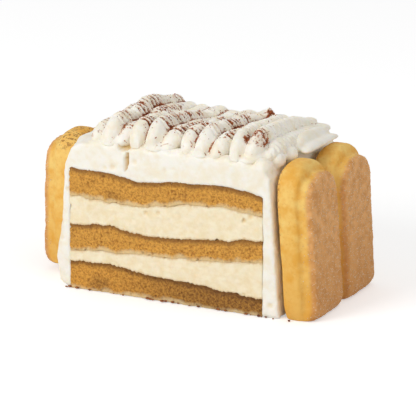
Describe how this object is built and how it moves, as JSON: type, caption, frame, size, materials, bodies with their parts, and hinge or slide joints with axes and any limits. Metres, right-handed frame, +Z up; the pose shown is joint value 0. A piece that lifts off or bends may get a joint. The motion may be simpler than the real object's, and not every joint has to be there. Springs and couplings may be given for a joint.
{
  "type": "tiramisu slice",
  "caption": "Slice of layered tiramisu cake: soaked sponge and mascarpone under piped whipped cream with cocoa, between upright ladyfingers at both ends.",
  "frame": {"origin": "middle of the slice's footprint, on the surface it stands on", "axes": "+Z up, +X along the cut face towards the end with two whole ladyfingers, the cut faces look along -Y and +Y"},
  "size_m": [0.1191, 0.056, 0.0675],
  "materials": {
    "sponge": "open golden-brown cake crumb, moist and matt",
    "soaked_sponge": "cake crumb soaked with coffee, darker and slightly glossy",
    "mascarpone": "pale yellow cream with small pores, satin",
    "whipped_cream": "white whipped cream, soft satin",
    "biscuit": "yellow biscuit sides and a tan crust with fine sugar, matt",
    "cocoa": "dry cocoa powder, matt"
  },
  "bodies": {
    "root": {"sponge_bottom": "soaked_sponge", "sponge_middle": "sponge", "sponge_top": "sponge", "mascarpone_lower": "mascarpone", "mascarpone_upper": "mascarpone", "cream_cover": "whipped_cream", "piped_cream_1": "whipped_cream", "piped_cream_2": "whipped_cream", "piped_cream_3": "whipped_cream", "piped_cream_4": "whipped_cream", "piped_curl": "whipped_cream", "ladyfinger_right_front": "biscuit", "ladyfinger_right_back": "biscuit", "ladyfinger_left_front": "biscuit", "ladyfinger_left_back": "biscuit"}
  },
  "joints": []
}
